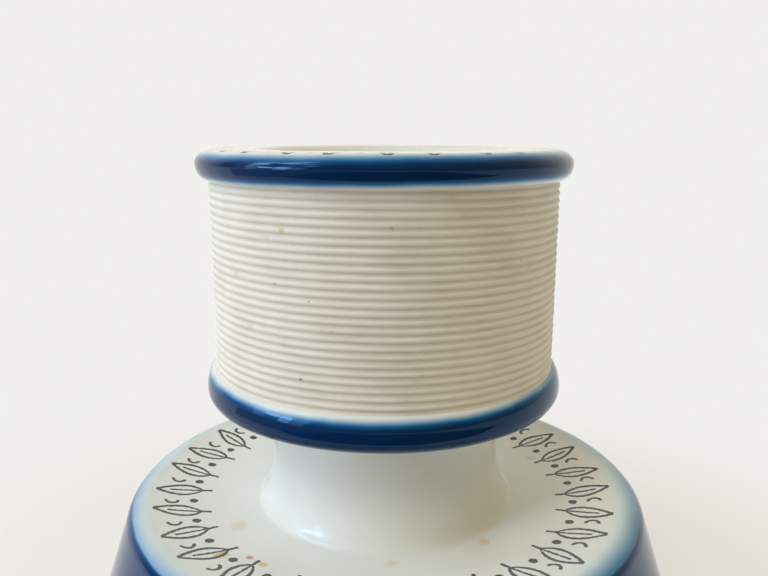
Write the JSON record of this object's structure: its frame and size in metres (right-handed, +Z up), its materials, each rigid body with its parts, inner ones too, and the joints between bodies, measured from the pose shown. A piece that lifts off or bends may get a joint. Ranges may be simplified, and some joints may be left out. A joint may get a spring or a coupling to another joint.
{
  "type": "match striker",
  "caption": "Porcelain bar-top match holder with a ribbed unglazed striking drum, an open well for matches, a hollow neck and a wide conical base.",
  "frame": {"origin": "centre of the foot ring, on the surface that the object stands on", "axes": "+Z up along the axis of revolution; the object is round, so +X and +Y are equal"},
  "size_m": [0.1181, 0.118, 0.1],
  "materials": {
    "white_glaze": "gloss",
    "cobalt_glaze": "gloss",
    "bisque": "matte",
    "bare_clay": "matte"
  },
  "bodies": {
    "root": {"top_ring": "cobalt_glaze", "well_cup": "white_glaze", "striker_drum": "bisque", "lower_collar": "cobalt_glaze", "neck": "white_glaze", "shoulder": "white_glaze", "skirt": "white_glaze", "foot_ring": "bare_clay"}
  },
  "joints": []
}
